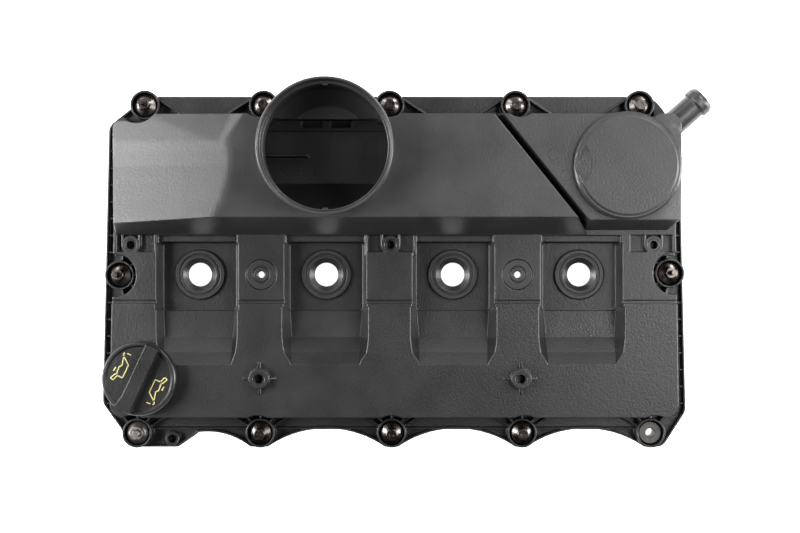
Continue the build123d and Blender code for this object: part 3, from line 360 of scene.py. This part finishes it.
# The roll-off grows over so much from the lid's edge, and fades out over so much before the hose stub
lid_clear_radius = 39.7
lid_fade = 8.0
stub_front = 112.0
stub_fade = 6.0
separator_area = (194.0, 214.0, 30.0, 113.0)
separator_step = 2.0
separator_skin = 4.0


def separator_solid(x, y):
    """Height of the solid's top, which is flat."""
    return separator_top


def separator_rolled(x, y):
    """Height of the finished top."""
    reach = max(x - shoulder_start, 0.0)
    past_lid = (math.hypot(x - lid_centre[0], y - lid_centre[1]) - lid_clear_radius) / lid_fade
    before_stub = (stub_front - y) / stub_fade
    return separator_top - shoulder_curve * reach ** 2 * min(max(min(past_lid, before_stub), 0.0), 1.0)


separator_plastic = moulded_plastic("separator_plastic", (0.022, 0.022, 0.023), 0.31, grain=0.25, edge=0.0014)
separator = redrawn(
    "separator_top", "separator_shell", separator_area, separator_step, separator_skin,
    separator_solid, separator_rolled, separator_plastic,
)
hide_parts("separator_shell")
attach(separator, "cover")


# ---- Ventilation lid and plate ----
# The round nylon lid is welded over the pressure valve, and a shallow scoop is cut in its left edge, which
# is redrawn a little deeper than the solid has it. The valve's plate under it is a lighter plastic.
# Sizes are in millimetres.
lid_top = 80.0
scoop_centre = (123.5, 80.8)
scoop_radius = 23.1
scoop_solid_fall = 0.2
scoop_deeper_fall = 0.26
lid_area = (132.0, 148.0, 56.0, 106.0)
lid_step = 1.6
lid_skin = 1.2
lid_crease = 8.0


def scoop(fall):
    """The lid's height as a function, with a conical scoop that falls away so steeply."""
    def height(x, y):
        away = math.hypot(x - scoop_centre[0], y - scoop_centre[1])
        return lid_top - fall * max(scoop_radius - away, 0.0)
    return height


lid_plastic = moulded_plastic("lid_plastic", (0.018, 0.018, 0.019), 0.31, grain=0.3, edge=0.0004)
lid = redrawn(
    "lid_top", "vent_lid", lid_area, lid_step, lid_skin,
    scoop(scoop_solid_fall), scoop(scoop_deeper_fall), lid_plastic, crease=lid_crease,
)
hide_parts("vent_lid")
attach(lid, "cover")
dress("vent_plate", moulded_plastic("valve_plastic", (0.08, 0.08, 0.08), 0.45))


# ---- Ejector marks ----
# The mould's ejector pins leave two faint rings on the separator's top: thin rings, half sunk in it.
# Sizes are in millimetres.
pin_marks = [(119.4, 87.7), (128.6, 72.3)]
pin_mark_radius = 4.0
pin_mark_height = 0.12
pin_mark_sides = 48
pin_mark_wire_sides = 8


def node_tree(name, sizes):
    """An empty Geometry Nodes tree with named number inputs, as a dictionary of their sockets."""
    tree = bpy.data.node_groups.new(name, "GeometryNodeTree")
    tree.interface.new_socket("Geometry", in_out="INPUT", socket_type="NodeSocketGeometry")
    tree.interface.new_socket("Geometry", in_out="OUTPUT", socket_type="NodeSocketGeometry")
    sockets = {
        label: tree.interface.new_socket(label, in_out="INPUT", socket_type=kind)
        for label, kind in sizes.items()
    }
    return tree, sockets


def made_by_nodes(name, mesh, tree, values):
    """Runs the tree once on the given mesh and returns the plain piece."""
    source = bpy.data.objects.new(name + "_source", mesh)
    bpy.context.scene.collection.objects.link(source)
    modifier = source.modifiers.new("nodes", "NODES")
    modifier.node_group = tree
    for socket, value in values:
        modifier[socket.identifier] = value
    seen = source.evaluated_get(bpy.context.evaluated_depsgraph_get())
    made = bpy.data.meshes.new_from_object(seen)
    source.modifiers.remove(modifier)
    bpy.data.objects.remove(source)
    piece = bpy.data.objects.new(name, made)
    bpy.context.scene.collection.objects.link(piece)
    return piece


def pin_mark_tree(paint):
    """Sets a thin ring, half sunk, on each point."""
    tree, sockets = node_tree("pin_marks", {"Radius": "NodeSocketFloat", "Height": "NodeSocketFloat"})
    entry = tree.nodes.new("NodeGroupInput")
    leave = tree.nodes.new("NodeGroupOutput")
    ring = tree.nodes.new("GeometryNodeCurvePrimitiveCircle")
    ring.inputs["Resolution"].default_value = pin_mark_sides
    tree.links.new(entry.outputs["Radius"], ring.inputs["Radius"])
    wire = tree.nodes.new("GeometryNodeCurvePrimitiveCircle")
    wire.inputs["Resolution"].default_value = pin_mark_wire_sides
    tree.links.new(entry.outputs["Height"], wire.inputs["Radius"])
    bead = tree.nodes.new("GeometryNodeCurveToMesh")
    tree.links.new(ring.outputs["Curve"], bead.inputs["Curve"])
    tree.links.new(wire.outputs["Curve"], bead.inputs["Profile Curve"])
    spread = tree.nodes.new("GeometryNodeInstanceOnPoints")
    tree.links.new(entry.outputs["Geometry"], spread.inputs["Points"])
    tree.links.new(bead.outputs["Mesh"], spread.inputs["Instance"])
    real = tree.nodes.new("GeometryNodeRealizeInstances")
    tree.links.new(spread.outputs["Instances"], real.inputs["Geometry"])
    finish = tree.nodes.new("GeometryNodeSetMaterial")
    finish.inputs["Material"].default_value = paint
    tree.links.new(real.outputs["Geometry"], finish.inputs["Geometry"])
    tree.links.new(finish.outputs["Geometry"], leave.inputs["Geometry"])
    return tree, sockets


mark_tree, mark_sockets = pin_mark_tree(separator_plastic)
mark_points = bpy.data.meshes.new("pin_mark_points")
mark_points.from_pydata([(x / 1000, y / 1000, separator_top / 1000) for x, y in pin_marks], [], [])
marks = made_by_nodes(
    "ejector_marks", mark_points, mark_tree,
    [(mark_sockets["Radius"], pin_mark_radius / 1000), (mark_sockets["Height"], pin_mark_height / 1000)],
)
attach(marks, "cover")


# ---- Filler cap ----
# Screwed plastic cap with a grip bar. An oil can is printed in pale yellow on each side of the bar,
# the second one turned half round.
cap_plastic = moulded_plastic("cap_plastic", (0.008, 0.008, 0.0085), 0.29, grain=0.25, edge=0.0009)
dress("filler_cap", cap_plastic)

# Sizes are in millimetres
cap_centre = (-184.0, -76.4)
cap_deck = 59.0
print_width = 0.9
print_height = 0.12
print_corner = 0.5
print_corner_steps = 3
# Strokes from the cap's centre; True closes the stroke
can_strokes = [
    (True, [
        (-11.0, 16.7), (-7.6, 9.9), (-12.0, 0.6), (-15.8, 2.4), (-16.6, 3.0), (-14.6, 8.6), (-12.3, 9.8),
    ]),
    (False, [(-11.0, 16.7), (-11.3, 18.3), (-10.1, 19.2)]),
    (False, [(-8.5, 18.5), (-5.6, 17.4)]),
    (True, [(-20.9, 0.7), (-17.3, 3.7), (-15.9, 2.3), (-19.0, -0.8)]),
    (False, [(-18.5, 5.9), (-16.9, 8.7)]),
]


def print_tree(paint):
    """Turns the strokes into thin raised bands, and repeats them turned half round."""
    tree, sockets = node_tree("printed_sign", {"Width": "NodeSocketFloat", "Height": "NodeSocketFloat"})
    entry = tree.nodes.new("NodeGroupInput")
    leave = tree.nodes.new("NodeGroupOutput")
    path = tree.nodes.new("GeometryNodeMeshToCurve")
    tree.links.new(entry.outputs["Geometry"], path.inputs["Mesh"])
    soft = tree.nodes.new("GeometryNodeFilletCurve")
    soft.mode = "POLY"
    soft.inputs["Count"].default_value = print_corner_steps
    soft.inputs["Radius"].default_value = print_corner / 1000
    soft.inputs["Limit Radius"].default_value = True
    tree.links.new(path.outputs["Curve"], soft.inputs["Curve"])
    band = tree.nodes.new("GeometryNodeCurvePrimitiveQuadrilateral")
    tree.links.new(entry.outputs["Width"], band.inputs["Width"])
    tree.links.new(entry.outputs["Height"], band.inputs["Height"])
    stroke = tree.nodes.new("GeometryNodeCurveToMesh")
    stroke.inputs["Fill Caps"].default_value = True
    tree.links.new(soft.outputs["Curve"], stroke.inputs["Curve"])
    tree.links.new(band.outputs["Curve"], stroke.inputs["Profile Curve"])
    turned = tree.nodes.new("GeometryNodeTransform")
    turned.inputs["Rotation"].default_value = (0, 0, math.pi)
    tree.links.new(stroke.outputs["Mesh"], turned.inputs["Geometry"])
    both = tree.nodes.new("GeometryNodeJoinGeometry")
    tree.links.new(stroke.outputs["Mesh"], both.inputs["Geometry"])
    tree.links.new(turned.outputs["Geometry"], both.inputs["Geometry"])
    placed = tree.nodes.new("GeometryNodeTransform")
    placed.inputs["Translation"].default_value = (cap_centre[0] / 1000, cap_centre[1] / 1000, cap_deck / 1000)
    tree.links.new(both.outputs["Geometry"], placed.inputs["Geometry"])
    real = tree.nodes.new("GeometryNodeRealizeInstances")
    tree.links.new(placed.outputs["Geometry"], real.inputs["Geometry"])
    finish = tree.nodes.new("GeometryNodeSetMaterial")
    finish.inputs["Material"].default_value = paint
    tree.links.new(real.outputs["Geometry"], finish.inputs["Geometry"])
    tree.links.new(finish.outputs["Geometry"], leave.inputs["Geometry"])
    return tree, sockets


print_paint = moulded_plastic("sign_print", (0.4, 0.37, 0.15), 0.65, grain=0.1, edge=0.0001)
sign_tree, sign_sockets = print_tree(print_paint)
sign_points, sign_edges = [], []
for closed, stroke in can_strokes:
    first = len(sign_points)
    sign_points += [(x / 1000, y / 1000, 0.0) for x, y in stroke]
    sign_edges += [(first + k, first + k + 1) for k in range(len(stroke) - 1)]
    if closed:
        sign_edges.append((first + len(stroke) - 1, first))
sign_mesh = bpy.data.meshes.new("sign_strokes")
sign_mesh.from_pydata(sign_points, sign_edges, [])
sign = made_by_nodes(
    "oil_can_signs", sign_mesh, sign_tree,
    [(sign_sockets["Width"], print_width / 1000), (sign_sockets["Height"], print_height / 1000)],
)
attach(sign, "cap")


# ---- Rubber seals ----
# Moulded rubber, a little brown, with a waxy bloom.
seal_rubber = moulded_plastic("seal_rubber", (0.0135, 0.0125, 0.0125), 0.34, grain=0.2)
for node in ("injector_seal_1", "injector_seal_2", "injector_seal_3", "injector_seal_4",
             "stud_seal_left", "stud_seal_right", "bolt_grommets", "gasket", "cap_seal", "vent_diaphragm"):
    dress(node, seal_rubber)


# ---- Bolts, sleeves and inserts ----
# Dark phosphated steel bolts, held loosely in plain steel sleeves, and the threaded inserts pressed into
# the screw bosses. Blotches of the finish show in the colour and in the gloss.
blotch_scale = 420.0
blotch_detail = 5.0
blotch_dark = (0.6, 0.58, 0.56)
blotch_light = 1.3
metal_gloss_spread = 0.1
metal_edge = 0.0003


def worn_metal(name, tone, roughness):
    """Blotchy used metal with small rounded edges; the darker blotches are a little browner."""
    paint = bpy.data.materials.new(name)
    paint.use_nodes = True
    tree = paint.node_tree
    shader = tree.nodes["Principled BSDF"]
    shader.inputs["Metallic"].default_value = 1.0
    place = tree.nodes.new("ShaderNodeTexCoord")
    blotch = tree.nodes.new("ShaderNodeTexNoise")
    blotch.inputs["Scale"].default_value = blotch_scale
    blotch.inputs["Detail"].default_value = blotch_detail
    tree.links.new(place.outputs["Object"], blotch.inputs["Vector"])
    tint = tree.nodes.new("ShaderNodeMix")
    tint.data_type = "RGBA"
    tint.inputs["A"].default_value = (*(value * share for value, share in zip(tone, blotch_dark)), 1)
    tint.inputs["B"].default_value = times(tone, blotch_light)
    tree.links.new(blotch.outputs["Fac"], tint.inputs["Factor"])
    tree.links.new(tint.outputs["Result"], shader.inputs["Base Color"])
    gloss = tree.nodes.new("ShaderNodeMapRange")
    gloss.inputs["To Min"].default_value = roughness - metal_gloss_spread
    gloss.inputs["To Max"].default_value = roughness + metal_gloss_spread
    tree.links.new(blotch.outputs["Fac"], gloss.inputs["Value"])
    tree.links.new(gloss.outputs["Result"], shader.inputs["Roughness"])
    edges = tree.nodes.new("ShaderNodeBevel")
    edges.samples = 4
    edges.inputs["Radius"].default_value = metal_edge
    tree.links.new(edges.outputs["Normal"], shader.inputs["Normal"])
    return paint


bolt_steel = worn_metal("bolt_steel", (0.1, 0.092, 0.086), 0.24)
dress("flange_bolts", bolt_steel)
dress("stud_bolts", bolt_steel)
dress("pilot_bolt", worn_metal("pilot_steel", (0.16, 0.155, 0.15), 0.42))
dress("bolt_sleeves", worn_metal("sleeve_steel", (0.11, 0.105, 0.1), 0.42))
dress("screw_inserts", worn_metal("insert_steel", (0.06, 0.058, 0.055), 0.3))


# ---- Valve spring ----
# Wound steel wire. It stands on the valve cup's floor and is pressed together by the valve's plate.
spring_mesh = nodes["vent_spring"].data.copy()
spring_mesh.materials.clear()
spring_mesh.materials.append(worn_metal("spring_steel", (0.5, 0.5, 0.5), 0.3))
spring = bpy.data.objects.new("valve_spring", spring_mesh)
bpy.context.scene.collection.objects.link(spring)
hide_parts("vent_spring")
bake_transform(spring)
